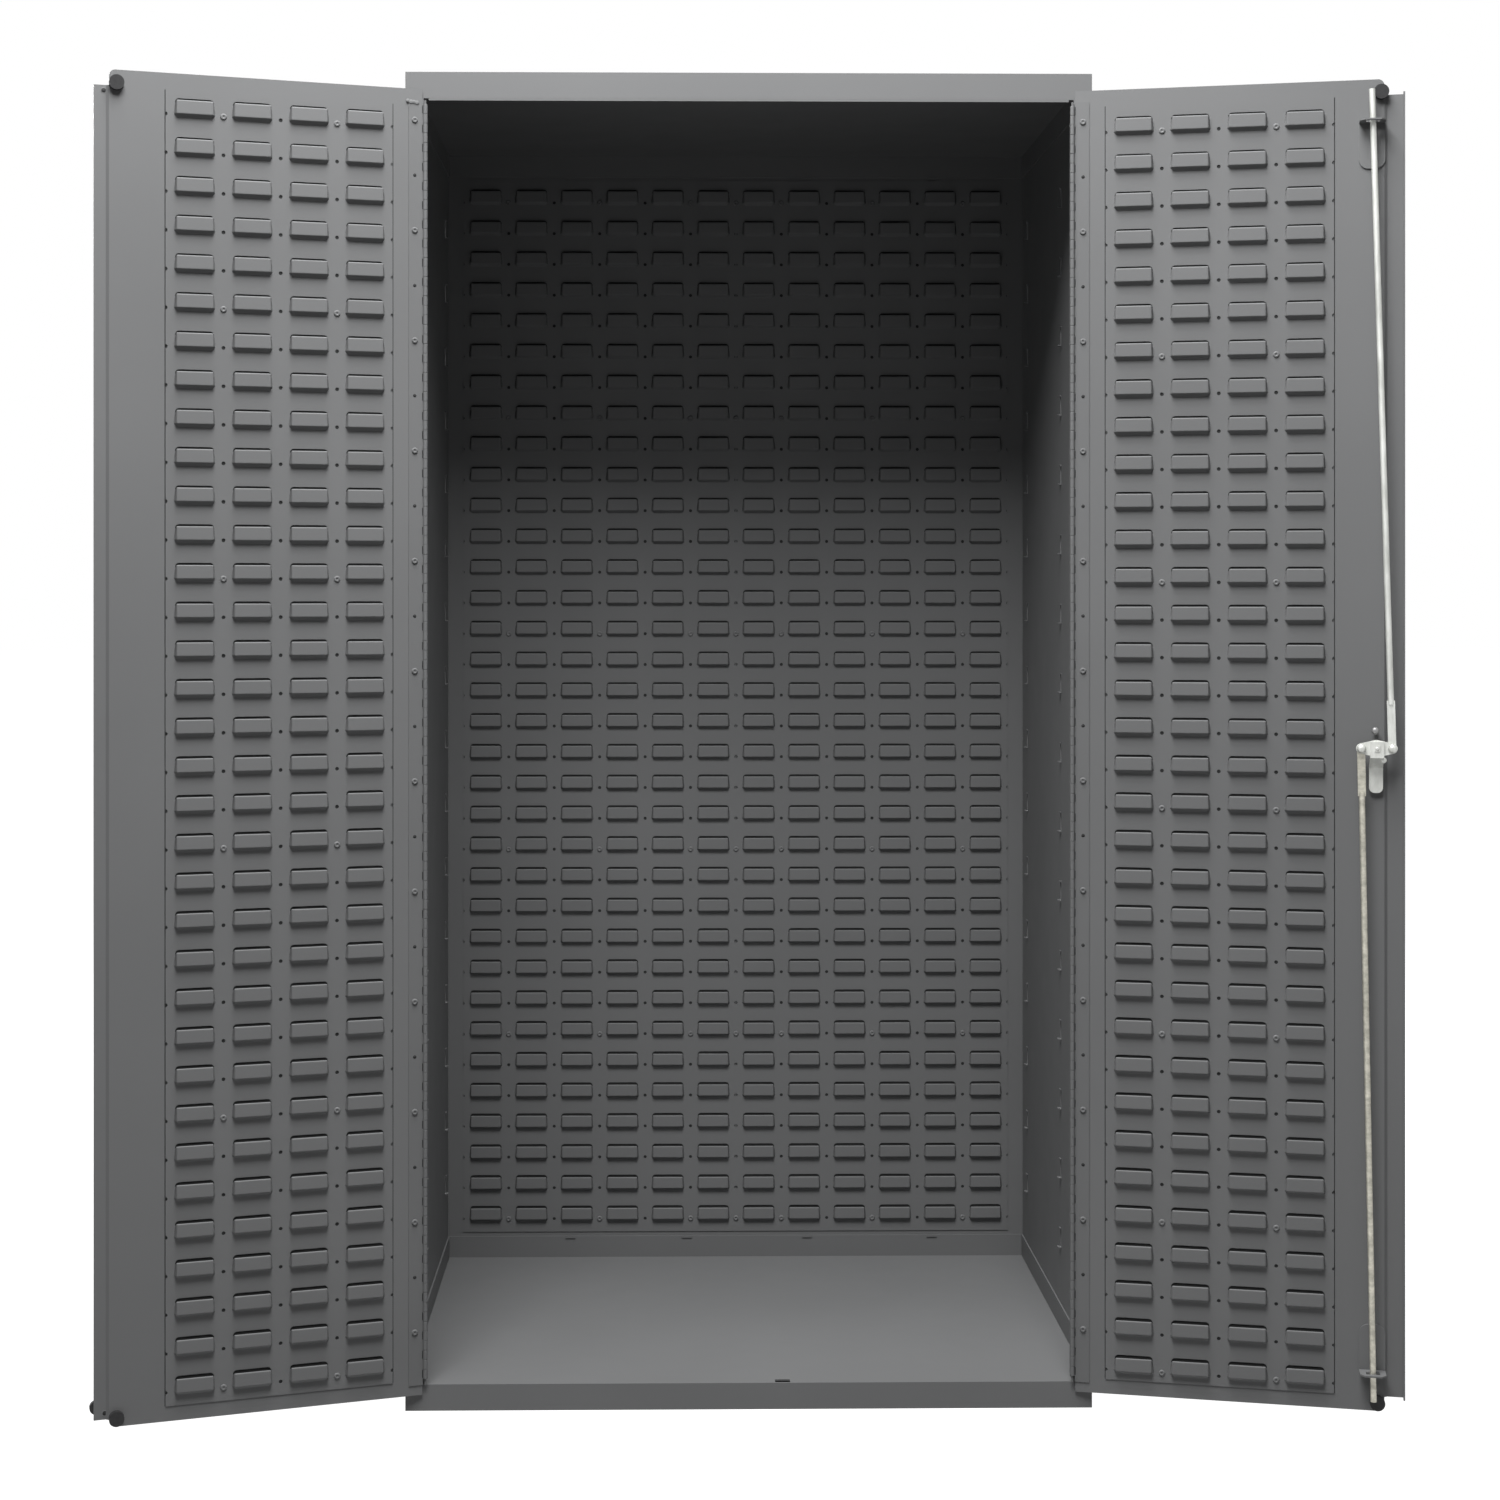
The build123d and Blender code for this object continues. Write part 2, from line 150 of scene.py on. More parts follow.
# Materials


def node_material(name):
    mat = bpy.data.materials.new(name)
    mat.use_nodes = True
    nodes = mat.node_tree.nodes
    nodes.clear()
    out = nodes.new("ShaderNodeOutputMaterial")
    bsdf = nodes.new("ShaderNodeBsdfPrincipled")
    mat.node_tree.links.new(bsdf.outputs["BSDF"], out.inputs["Surface"])
    return mat, nodes, mat.node_tree.links, bsdf


def noise(nodes, links, coords, scale, detail, roughness=0.5):
    tex = nodes.new("ShaderNodeTexNoise")
    tex.inputs["Scale"].default_value = scale
    tex.inputs["Detail"].default_value = detail
    tex.inputs["Roughness"].default_value = roughness
    links.new(coords, tex.inputs["Vector"])
    return tex.outputs["Fac"]


def ramp(nodes, links, value, stops):
    """Colours between stops, each a position and a colour."""
    node = nodes.new("ShaderNodeValToRGB")
    elements = node.color_ramp.elements
    for element, (position, colour) in zip(elements, stops):
        element.position = position
        element.color = (*colour, 1)
    links.new(value, node.inputs["Fac"])
    return node.outputs["Color"]


def remap(nodes, links, value, low, high):
    """A value from 0 to 1, spread from low to high."""
    node = nodes.new("ShaderNodeMapRange")
    node.inputs["To Min"].default_value = low
    node.inputs["To Max"].default_value = high
    links.new(value, node.inputs["Value"])
    return node.outputs["Result"]


def object_coords(nodes):
    return nodes.new("ShaderNodeTexCoord").outputs["Object"]


def bump(nodes, links, bsdf, height, strength, distance=0.0004):
    """Fine relief; the distance is in metres."""
    node = nodes.new("ShaderNodeBump")
    node.inputs["Strength"].default_value = strength
    node.inputs["Distance"].default_value = distance
    links.new(height, node.inputs["Height"])
    links.new(node.outputs["Normal"], bsdf.inputs["Normal"])


def toned(tone, share):
    """A darker or lighter tone of the same hue."""
    return tuple(c * share for c in tone)


def powder_coat(name, tone, peel=0.12, rough=0.42):
    """Satin powder coat: faint cloudiness, fine orange peel, a little uneven gloss."""
    mat, nodes, links, bsdf = node_material(name)
    coords = object_coords(nodes)
    cloud = noise(nodes, links, coords, scale=3.0, detail=3.0)
    stops = [(0.3, toned(tone, 0.965)), (0.7, toned(tone, 1.035))]
    links.new(ramp(nodes, links, cloud, stops), bsdf.inputs["Base Color"])
    patch = noise(nodes, links, coords, scale=14.0, detail=2.0)
    links.new(remap(nodes, links, patch, rough, rough + 0.1), bsdf.inputs["Roughness"])
    bsdf.inputs["Specular IOR Level"].default_value = 0.16
    fine = noise(nodes, links, coords, scale=700.0, detail=1.0)
    bump(nodes, links, bsdf, fine, peel)
    return mat


def zinc(name, low, high, streak, metallic=0.55):
    """Zinc plate with mottled colour and gloss, drawn out along z as streak falls below 1."""
    mat, nodes, links, bsdf = node_material(name)
    mapping = nodes.new("ShaderNodeMapping")
    mapping.inputs["Scale"].default_value = (1.0, 1.0, streak)
    links.new(object_coords(nodes), mapping.inputs["Vector"])
    coords = mapping.outputs["Vector"]
    mottle = noise(nodes, links, coords, scale=90.0, detail=4.0, roughness=0.6)
    colour = ramp(nodes, links, mottle, [(0.35, low), (0.7, high)])
    links.new(colour, bsdf.inputs["Base Color"])
    bsdf.inputs["Metallic"].default_value = metallic
    gloss = noise(nodes, links, coords, scale=160.0, detail=2.0)
    links.new(remap(nodes, links, gloss, 0.34, 0.5), bsdf.inputs["Roughness"])
    bump(nodes, links, bsdf, mottle, 0.25)
    return mat


def chrome(name, low, high):
    mat, nodes, links, bsdf = node_material(name)
    mottle = noise(nodes, links, object_coords(nodes), scale=60.0, detail=3.0)
    links.new(ramp(nodes, links, mottle, [(0.3, low), (0.7, high)]), bsdf.inputs["Base Color"])
    bsdf.inputs["Metallic"].default_value = 1.0
    links.new(remap(nodes, links, mottle, 0.14, 0.24), bsdf.inputs["Roughness"])
    return mat


def rubber(name, low, high):
    mat, nodes, links, bsdf = node_material(name)
    fine = noise(nodes, links, object_coords(nodes), scale=300.0, detail=3.0)
    links.new(ramp(nodes, links, fine, [(0.3, low), (0.75, high)]), bsdf.inputs["Base Color"])
    links.new(remap(nodes, links, fine, 0.6, 0.8), bsdf.inputs["Roughness"])
    bsdf.inputs["Specular IOR Level"].default_value = 0.3
    bump(nodes, links, bsdf, fine, 0.3, distance=0.0003)
    return mat


TONE = (0.150, 0.152, 0.154)
PAINT = powder_coat("grey_powder_coat", TONE)
PAINT_HINGE = powder_coat("grey_powder_coat_hinge", toned(TONE, 0.96), peel=0.16, rough=0.66)
# Painted shade: a near-black copy of the grey paint, for places that show only shade: behind the
# louvers' openings, beside the door panels, in the hinge slits and holes, in the strip holes and on
# the floor under the cabinet.
PAINTED_SHADE = powder_coat("painted_shade_dark_grey", toned(TONE, 0.22), rough=0.8)
ZINC = zinc("zinc_cool", (0.50, 0.51, 0.48), (0.74, 0.75, 0.72), 0.25)
ZINC_WARM = zinc("zinc_warm", (0.34, 0.33, 0.28), (0.60, 0.58, 0.50), 1.5)
# Painted light: a lighter, less metallic copy of the zinc for the finger, the cam and the stake,
# standing in for the light they catch.
ZINC_LIT_COPY = zinc("zinc_painted_light", (0.56, 0.57, 0.54), (0.72, 0.73, 0.70), 0.4, metallic=0.3)
ZINC_DULL = zinc("zinc_dull", (0.20, 0.20, 0.20), (0.30, 0.30, 0.30), 1.0)
CHROME = chrome("polished_chrome", (0.62, 0.63, 0.64), (0.72, 0.73, 0.74))
RUBBER = rubber("black_rubber", (0.012, 0.012, 0.013), (0.024, 0.024, 0.025))

SLOT_MATERIALS = {
    "grey_paint": PAINT,
    "hinge_paint": PAINT_HINGE,
    "zinc_plate": ZINC,
    "handle_metal": CHROME,
    "bumper_rubber": RUBBER,
}
OWN_MATERIALS = {
    "lock_rod_lower": ZINC_WARM,
    "latch_finger": ZINC_LIT_COPY,
    "latch_cam": ZINC_LIT_COPY,
    "hinge_pin_left": PAINT_HINGE,
    "hinge_pin_right": PAINT_HINGE,
}


def dress(obj, mat):
    obj.data.materials.clear()
    obj.data.materials.append(mat)


def dress_cad_nodes():
    """Each CAD node gets its slot's material, and a few get one of their own."""
    for part in frame["record"]["subparts"]:
        node = part["node"]
        mat = OWN_MATERIALS.get(node, SLOT_MATERIALS[part["material_slot"]])
        dress(frame["nodes"][node], mat)


# Shapes


class Shape:
    """Collects points and faces in millimetres, then becomes one object."""

    def __init__(self):
        self.points = []
        self.faces = []
        self.smooth = []

    def add(self, points, faces, smooth=False):
        start = len(self.points)
        self.points.extend(points)
        self.faces.extend(tuple(start + i for i in face) for face in faces)
        self.smooth.extend([smooth] * len(faces))

    def build(self, name, body, place, mat, slot_name):
        flipped = place.determinant() < 0
        mesh = bpy.data.meshes.new(name)
        points = [place @ (Vector(p) * MM) for p in self.points]
        faces = [tuple(reversed(f)) if flipped else f for f in self.faces]
        mesh.from_pydata([tuple(p) for p in points], [], faces)
        mesh.polygons.foreach_set("use_smooth", self.smooth)
        mesh.update()
        obj = bpy.data.objects.new(name, mesh)
        bpy.context.scene.collection.objects.link(obj)
        dress(obj, mat)
        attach(obj, body)
        return obj

    def box(self, x0, x1, y0, y1, z0, z1):
        """A closed box between two opposite corners."""
        points = [(x, y, z) for z in (z0, z1) for y in (y0, y1) for x in (x0, x1)]
        ends = [(0, 2, 3, 1), (4, 5, 7, 6)]
        sides = [(0, 1, 5, 4), (2, 6, 7, 3), (0, 4, 6, 2), (1, 3, 7, 5)]
        self.add(points, ends + sides)

    def skin(self, rows, smooth=False):
        """Faces between rows of points that all have the same length."""
        n = len(rows[0])
        faces = []
        for row in range(len(rows) - 1):
            for i in range(n - 1):
                a = row * n + i
                faces.append((a, a + 1, a + n + 1, a + n))
        self.add([p for row in rows for p in row], faces, smooth)

    def prism_y(self, outline, y0, y1):
        """Extrude (x, z) points along y; from the front they run anticlockwise."""
        n = len(outline)
        points = [(x, y, z) for y in (y0, y1) for x, z in outline]
        faces = [tuple(range(n)), tuple(reversed(range(n, 2 * n)))]
        for i in range(n):
            j = (i + 1) % n
            faces.append((n + i, n + j, j, i))
        self.add(points, faces)

    def lathe(self, centre, axis, profile, sides):
        """Revolve (radius, distance along axis) pairs; a last radius of zero closes the end."""
        axis = Vector(axis).normalized()
        side = axis.orthogonal().normalized()
        other = axis.cross(side)
        centre = Vector(centre)
        rings = []
        points = []
        for radius, along in profile:
            if radius == 0:
                rings.append([len(points)])
                points.append(tuple(centre + axis * along))
                continue
            ring = []
            for i in range(sides):
                angle = 2 * math.pi * i / sides
                offset = side * math.cos(angle) + other * math.sin(angle)
                ring.append(len(points))
                points.append(tuple(centre + axis * along + offset * radius))
            rings.append(ring)
        faces = []
        for low, high in zip(rings, rings[1:]):
            for i in range(sides):
                j = (i + 1) % sides
                if len(high) == 1:
                    faces.append((low[i], low[j], high[0]))
                else:
                    faces.append((low[i], low[j], high[j], high[i]))
        self.add(points, faces, True)

    def dome(self, centre, axis, radius, height, sides=16):
        """A low dome with a rounded rim."""
        shares = [(1.0, 0), (0.97, 0.35), (0.82, 0.68), (0.5, 0.92), (0, 1.0)]
        profile = [(radius * out, height * up) for out, up in shares]
        self.lathe(centre, axis, profile, sides)


# Louvers. In a louver's own frame, x runs across from its middle, y out of the sheet and z
# up from its foot.

LOUVER_ROWS = 34
LOUVER_RISE = 6.0
METAL = 1.2
# Half the width of the sheet that goes with a louver, and the louver's opening in it.
CELL_HALF = 27.2
CUT_HEIGHT = 24.5
CUT_CORNER = 5.0
CUT_STEPS = 5
# The lip's edge, and the height above which the lip keeps its width.
LIP_HIGH = 21.6
LIP_START = 17.6
# Across a louver's flank, from the sheet to the face: share of the flank, and of the rise.
FLANK_SHARES = [(0.0, 0.0), (0.2, 0.1), (0.45, 0.42), (0.7, 0.78), (0.9, 0.96), (1.0, 1.0)]
# At the same points, how far the lip's edge drops.
LIP_DROP = [4.0, 3.2, 2.0, 0.9, 0.25, 0.0]
# From the face's edge to a further point, which keeps the smooth shading off its middle.
FACE_INSET = 1.5
# Up the louver: height, half the width of its face, and the width of its flank.
SECTIONS = [
    (0.0, 19.6, 2.0),
    (1.2, 20.8, 2.5),
    (2.4, 21.8, 2.9),
    (3.4, 22.4, 3.2),
    (4.2, 22.8, 3.4),
    (4.8, 22.9, 3.4),
    (5.8, 22.9, 3.3),
    (17.6, 23.0, 1.7),
]
# Up the underside from the foot: height, and share of the rise.
UNDERSIDE = [(0.0, 0.0), (1.2, 0.16), (2.4, 0.42), (3.4, 0.75), (4.2, 0.97), (4.8, 1.0), (5.8, 1.0)]
# At the lip, up from where it rolls back: height, and share of the rise.
LIP_ROLL = [(-1.0, 1.0), (0.0, 1.0), (0.7, 0.96), (1.1, 0.88)]

# Small holes between the louvers, each in a square patch of sheet, and the rivets in them.
HOLE_RADIUS = 2.5
HOLE_RISE = 3.9
HOLE_STEPS = 12
PATCH_HALF = 4.0
PANEL_RIVET = [(4.3, 0), (4.2, 0.7), (3.6, 1.4), (2.7, 1.8), (1.7, 1.6), (1.0, 0.9), (0, 0.7)]
PANEL_RIVET_SIDES = 14

# Painted shade for the dark space behind the openings, and for the seam beside a door's panel.
THROAT_INSET = 1.5
THROAT_PROUD = 0.1
SEAM_SHADE_WIDTH = 1.1
SEAM_SHADE_PROUD = 0.15

# Lines of the sheet's grid that agree to this many decimals are one line.
DECIMALS = 4
TOLERANCE = 1e-6


def section(height):
    """Half the face's width and the flank's width at a height."""
    for (low, face, flank), (high, next_face, next_flank) in zip(SECTIONS, SECTIONS[1:]):
        if height <= high:
            share = (height - low) / (high - low)
            return face + (next_face - face) * share, flank + (next_flank - flank) * share
    return SECTIONS[-1][1:]


def louver_columns():
    """Points across a louver: side, share of the flank, share of the rise, drop of the lip.

    The two in the middle lie on the face and have no share of a flank.
    """
    flank = [(share, rise, drop) for (share, rise), drop in zip(FLANK_SHARES, LIP_DROP)]
    left = [(-1, *entry) for entry in flank]
    right = [(1, *entry) for entry in reversed(flank)]
    return left + [(-1, None, 1.0, 0.0), (1, None, 1.0, 0.0)] + right


def across(height, side, share):
    """How far from the louver's middle a point of its section lies."""
    face, flank = section(height)
    if share is None:
        return side * (face - FACE_INSET)
    return side * (face + flank * (1 - share))


def louver_hood(shape, x, z):
    """One pressed louver: flat face, sloped underside, soft flanks and a rolled lip."""
    columns = louver_columns()
    roll = LIP_HIGH - LIP_ROLL[-1][0]
    rows = []
    for height, out in UNDERSIDE:
        rows.append([
            (x + across(height, side, share), rise * out * LOUVER_RISE, z + height)
            for side, share, rise, _drop in columns
        ])
    for above, out in LIP_ROLL:
        rows.append([
            (x + across(LIP_START, side, share), rise * out * LOUVER_RISE, z + roll + above - drop)
            for side, share, rise, drop in columns
        ])
    shape.skin(rows, smooth=True)
    # From the lip's edge back into the opening, down behind the face and out to the sheet.
    lip = rows[-1]
    inside = [(px, max(py - METAL, -METAL), pz) for px, py, pz in lip]
    low = [(px, py, z + UNDERSIDE[-1][0]) for px, py, _pz in inside]
    floor = [(px, -METAL, z + METAL) for px, _py, _pz in inside]
    shape.skin([lip, inside, low, floor])


def cut_edge(shape, x, z):
    """The sheet beside a louver and around its opening's rounded top, and the cut edge there."""
    flank = [(face + width, height) for height, face, width in SECTIONS]
    half = flank[-1][0]
    arc = []
    for i in range(CUT_STEPS + 1):
        angle = math.pi / 2 * i / CUT_STEPS
        out = half - CUT_CORNER + CUT_CORNER * math.cos(angle)
        arc.append((out, CUT_HEIGHT - CUT_CORNER + CUT_CORNER * math.sin(angle)))
    border = [(CELL_HALF, 0.0)] + flank + arc + [(CELL_HALF, CUT_HEIGHT)]
    for sign in (-1, 1):
        edge = [(x + sign * a, 0, z + b) for a, b in border]
        face = tuple(range(len(edge)))
        shape.add(edge, [face if sign < 0 else tuple(reversed(face))])
    arc = [flank[-1]] + arc
    outline = [(x - a, z + b) for a, b in arc] + [(x + a, z + b) for a, b in reversed(arc)]
    shape.skin([[(a, y, b) for a, b in outline] for y in (0, -METAL)])


def hole_patch(shape, x, z, start, end):
    """The square of sheet around a hole, or half of it at a panel's edge."""
    ring = []
    rim = []
    for i in range(HOLE_STEPS + 1):
        angle = start + (end - start) * i / HOLE_STEPS
        c, s = math.cos(angle), math.sin(angle)
        ring.append((x + HOLE_RADIUS * c, z + HOLE_RADIUS * s))
        reach = PATCH_HALF / max(abs(c), abs(s))
        rim.append((x + reach * c, z + reach * s))
    outlines = ((rim, 0), (ring, 0), (ring, -METAL))
    shape.skin([[(a, y, b) for a, b in outline] for outline, y in outlines])


def flat_sheet(shape, width, height, louver_x, louver_z, hole_x):
    """The panel's front face, less the cells of the louvers and the patches of the holes."""
    xs = [-width / 2, width / 2]
    for x in louver_x:
        xs += [x - CELL_HALF, x + CELL_HALF]
    for x in hole_x:
        xs += [x - PATCH_HALF, x + PATCH_HALF]
    zs = [0, height]
    for z in louver_z:
        zs += [z, z + CUT_HEIGHT, z + HOLE_RISE - PATCH_HALF, z + HOLE_RISE + PATCH_HALF]
    half = width / 2 + TOLERANCE
    xs = sorted({round(x, DECIMALS) for x in xs if abs(x) <= half})
    zs = sorted({round(z, DECIMALS) for z in zs})
    grid = {}
    points = []
    faces = []

    def vertex(x, z):
        if (x, z) not in grid:
            grid[(x, z)] = len(points)
            points.append((x, 0, z))
        return grid[(x, z)]

    for x0, x1 in zip(xs, xs[1:]):
        x = (x0 + x1) / 2
        by_louver = any(abs(x - middle) < CELL_HALF for middle in louver_x)
        by_hole = any(abs(x - middle) < PATCH_HALF for middle in hole_x)
        for z0, z1 in zip(zs, zs[1:]):
            z = (z0 + z1) / 2
            if by_louver and any(0 <= z - foot < CUT_HEIGHT for foot in louver_z):
                continue
            if by_hole and any(abs(z - foot - HOLE_RISE) < PATCH_HALF for foot in louver_z):
                continue
            faces.append((vertex(x0, z0), vertex(x1, z0), vertex(x1, z1), vertex(x0, z1)))
    shape.add(points, faces)


def sheet_back(shape, width, height):
    """The back of a panel and its four edges."""
    outline = [(-width / 2, 0), (width / 2, 0), (width / 2, height), (-width / 2, height)]
    points = [(x, y, z) for y in (-METAL, 0) for x, z in outline]
    edges = [(0, 1, 5, 4), (1, 2, 6, 5), (2, 3, 7, 6), (3, 0, 4, 7)]
    shape.add(points, [(0, 3, 2, 1)] + edges)


def hole_span(i, columns):
    """Where a hole's patch starts and ends around it: half a turn at a panel's edge."""
    if i == 0:
        return -math.pi / 2, math.pi / 2
    if i == columns:
        return math.pi / 2, 3 * math.pi / 2
    return -math.pi / 4, 7 * math.pi / 4


def louver_panel(width, height, columns, foot, headroom, riveted):
    """A whole panel in its own frame: x across from the middle, y out of the sheet, z up."""
    shape = Shape()
    pitch = width / columns
    row_pitch = (height - foot - headroom) / (LOUVER_ROWS - 1)
    louver_x = [(column - (columns - 1) / 2) * pitch for column in range(columns)]
    louver_z = [foot + row * row_pitch for row in range(LOUVER_ROWS)]
    hole_x = [-width / 2 + pitch * i for i in range(columns + 1)]
    flat_sheet(shape, width, height, louver_x, louver_z, hole_x)
    for row, z in enumerate(louver_z):
        for x in louver_x:
            louver_hood(shape, x, z)
            cut_edge(shape, x, z)
        for i, x in enumerate(hole_x):
            hole_patch(shape, x, z + HOLE_RISE, *hole_span(i, columns))
            if (row, i) in riveted:
                shape.lathe((x, 0, z + HOLE_RISE), (0, 1, 0), PANEL_RIVET, PANEL_RIVET_SIDES)
    sheet_back(shape, width, height)
    return shape


def throats(name, body, place, width, height, edged):
    """Painted shade behind a panel's openings, and along the seam at its upright edges."""
    shape = Shape()
    half = width / 2 - THROAT_INSET
    back, face = -METAL, THROAT_PROUD - METAL
    shape.box(-half, half, back, face, THROAT_INSET, height - THROAT_INSET)
    if edged:
        for sign in (-1, 1):
            inner, outer = sorted((sign * width / 2, sign * (width / 2 + SEAM_SHADE_WIDTH)))
            shape.box(inner, outer, back, SEAM_SHADE_PROUD - METAL, 0, height)
    shape.build(name, body, place, PAINTED_SHADE, "grey_paint")


def rivet_spots(rows, gaps):
    """Places of rivets, from rows counted from the top and gaps counted from one side."""
    return {(LOUVER_ROWS - row, gap) for row in rows for gap in gaps}


# Louvered panels. The foot is below the lowest louver, the headroom above the foot of the
# highest one, and on a door the two together are the spare height.

BACK_WIDTH = HALF_WIDTH - BACK_SIDE_MARGIN
BACK_LOW = SILL_HEIGHT + BACK_RISE
BACK_HEIGHT = CABINET_HEIGHT - BACK_DROP - BACK_LOW
BACK_COLUMNS = 6
BACK_FOOT = 16.5
BACK_HEADROOM = 39.4
BACK_RIVET_ROWS = (1, 8, 15, 22, 28, 34)

DOOR_COLUMNS = 4
DOOR_SPARE = 48.2
LEFT_FOOT = 13.3
RIGHT_FOOT = 8.9
LEFT_RIVET_ROWS = (1, 6, 13, 20, 27, 34)
RIGHT_RIVET_ROWS = (1, 7, 13, 19, 25, 30, 34)
DOOR_RIVET_GAPS = (1, 3)


def back_panels():
    for side, sign, gaps in (("left", -1, (0, 1, 3, 5)), ("right", 1, (1, 3, 5))):
        spots = rivet_spots(BACK_RIVET_ROWS, gaps)
        shape = louver_panel(
            BACK_WIDTH, BACK_HEIGHT, BACK_COLUMNS, BACK_FOOT, BACK_HEADROOM, spots
        )
        place = place_at(sign * BACK_WIDTH / 2, BACK - SHEET - METAL, BACK_LOW)
        place = place @ Matrix.Rotation(math.pi, 4, "Z")
        panel = shape.build("louvers_back_" + side, "cabinet", place, PAINT, "grey_paint")
        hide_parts("back_louver_panel_" + side)
        throats("throats_back_" + side, "cabinet", place, BACK_WIDTH, BACK_HEIGHT, False)


def door_panels():
    width = DOOR_WIDTH - PANEL_SETBACK - PANEL_EDGE
    low = DOOR_BOTTOM + PANEL_RISE
    height = DOOR_TOP - PANEL_DROP - low
    seat = place_at(PANEL_SETBACK + width / 2, DOOR_INNER + METAL, low)
    sides = (
        ("left", LEFT_FRAME, LEFT_RIVET_ROWS, LEFT_FOOT),
        ("right", RIGHT_FRAME, RIGHT_RIVET_ROWS, RIGHT_FOOT),
    )
    for side, door, rows, foot in sides:
        spots = rivet_spots(rows, DOOR_RIVET_GAPS)
        shape = louver_panel(width, height, DOOR_COLUMNS, foot, DOOR_SPARE - foot, spots)
        place = door @ seat
        panel = shape.build("louvers_door_" + side, side + "_door", place, PAINT, "grey_paint")
        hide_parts("door_louver_panel_" + side)
        throats("throats_door_" + side, side + "_door", place, width, height, True)


# Hinges

# Short knuckles around the pin, from the top down. The shoulder keeps their shading even.
KNUCKLE_PITCH = 12.7
KNUCKLE_GAP = 0.4
FIRST_KNUCKLE_DROP = 5.5
KNUCKLE_SIDES = 16
BARREL_RADIUS = 3.0
BARREL_BORE = 1.35
BARREL_ROUND = 0.2
BARREL_SHOULDER = 0.7
# Painted shade for the slit in the door's leaf beside each knuckle of the frame's leaf.
SLIT_WIDTH = 1.0
SLIT_INSET = 1.0
SLIT_PROUD = 0.1

# Rivets on both leaves, from the top down, and the holes between them on the door's leaf, as discs
# of painted shade.
RIVET_PITCH = 146.0
FIRST_RIVET_DROP = 26.6
LAST_RIVET_RISE = 10.0
DOOR_RIVET_X = 14.0
FRAME_RIVET_Y = 18.0
LEAF_RIVET = [(4.15, 0), (4.1, 0.7), (3.5, 1.5), (2.6, 1.9), (1.7, 1.6), (0.9, 1.0), (0, 0.8)]
LEAF_RIVET_SIDES = 18
LEAF_HOLE = [(2.3, 0), (2.3, 0.12), (0, 0.12)]
LEAF_HOLE_SIDES = 14


def knuckle(shape, low, high):
    """One rolled knuckle around the pin, with rounded rims."""
    rim = BARREL_RADIUS - BARREL_ROUND
    profile = [
        (BARREL_BORE, low),
        (rim, low),
        (BARREL_RADIUS, low + BARREL_ROUND),
        (BARREL_RADIUS, low + BARREL_SHOULDER),
        (BARREL_RADIUS, high - BARREL_SHOULDER),
        (BARREL_RADIUS, high - BARREL_ROUND),
        (rim, high),
        (BARREL_BORE, high),
    ]
    shape.lathe((0, 0, 0), (0, 0, 1), profile, KNUCKLE_SIDES)


def knuckles(fixed, moving, holes):
    """The knuckles from the top down, in turn on the frame's leaf and on the door's."""
    first = HINGE_HIGH - FIRST_KNUCKLE_DROP
    for i in range(int((first - HINGE_LOW) / KNUCKLE_PITCH)):
        high = first - i * KNUCKLE_PITCH - KNUCKLE_GAP / 2
        low = high - KNUCKLE_PITCH + KNUCKLE_GAP
        if i % 2 == 0:
            knuckle(fixed, low, high)
            fixed.box(LEAF_BACK, LEAF_FACE, 0, LEAF_NOTCH, low, high)
            slit_end = LEAF_NOTCH + SLIT_WIDTH
            slit_low, slit_high = low + SLIT_INSET, high - SLIT_INSET
            slit_face = LEAF_FACE + SLIT_PROUD
            holes.box(LEAF_NOTCH, slit_end, LEAF_FACE, slit_face, slit_low, slit_high)
        else:
            knuckle(moving, low, high)
            moving.box(0, LEAF_NOTCH, LEAF_BACK, LEAF_FACE, low, high)


def leaf_rivets(fixed, moving, holes):
    """Dimpled rivet heads on both leaves, and a disc of painted shade for a hole between each two
    on the door's leaf.
    """
    z = HINGE_HIGH - FIRST_RIVET_DROP
    lowest = HINGE_LOW + LAST_RIVET_RISE
    while z > lowest:
        moving.lathe((DOOR_RIVET_X, LEAF_FACE, z), (0, 1, 0), LEAF_RIVET, LEAF_RIVET_SIDES)
        fixed.lathe((LEAF_FACE, FRAME_RIVET_Y, z), (1, 0, 0), LEAF_RIVET, LEAF_RIVET_SIDES)
        hole_z = z - RIVET_PITCH / 2
        if hole_z > lowest:
            holes.lathe((DOOR_RIVET_X, LEAF_FACE, hole_z), (0, 1, 0), LEAF_HOLE, LEAF_HOLE_SIDES)
        z -= RIVET_PITCH


def hinge(side, shut, opened):
    """The frame's leaf stays with the cabinet, the door's leaf and its holes with the door."""
    fixed = Shape()
    moving = Shape()
    holes = Shape()
    fixed.box(LEAF_BACK, LEAF_FACE, LEAF_NOTCH, FRAME_LEAF_END, HINGE_LOW, HINGE_HIGH)
    moving.box(LEAF_NOTCH, DOOR_LEAF_WIDTH, LEAF_BACK, LEAF_FACE, HINGE_LOW, HINGE_HIGH)
    knuckles(fixed, moving, holes)
    leaf_rivets(fixed, moving, holes)
    # The slits and the holes are painted shade.
    holes.build("hinge_holes_" + side, side + "_door", opened, PAINTED_SHADE, "hinge_paint")
    leaf = fixed.build("hinge_frame_" + side, "cabinet", shut, PAINT_HINGE, "hinge_paint")
    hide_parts("frame_leaf_" + side)
    leaf = moving.build("hinge_door_" + side, side + "_door", opened, PAINT_HINGE, "hinge_paint")
    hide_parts("door_leaf_" + side)


# Latch trim, in the right door's frame. A profile starts on what carries the head.

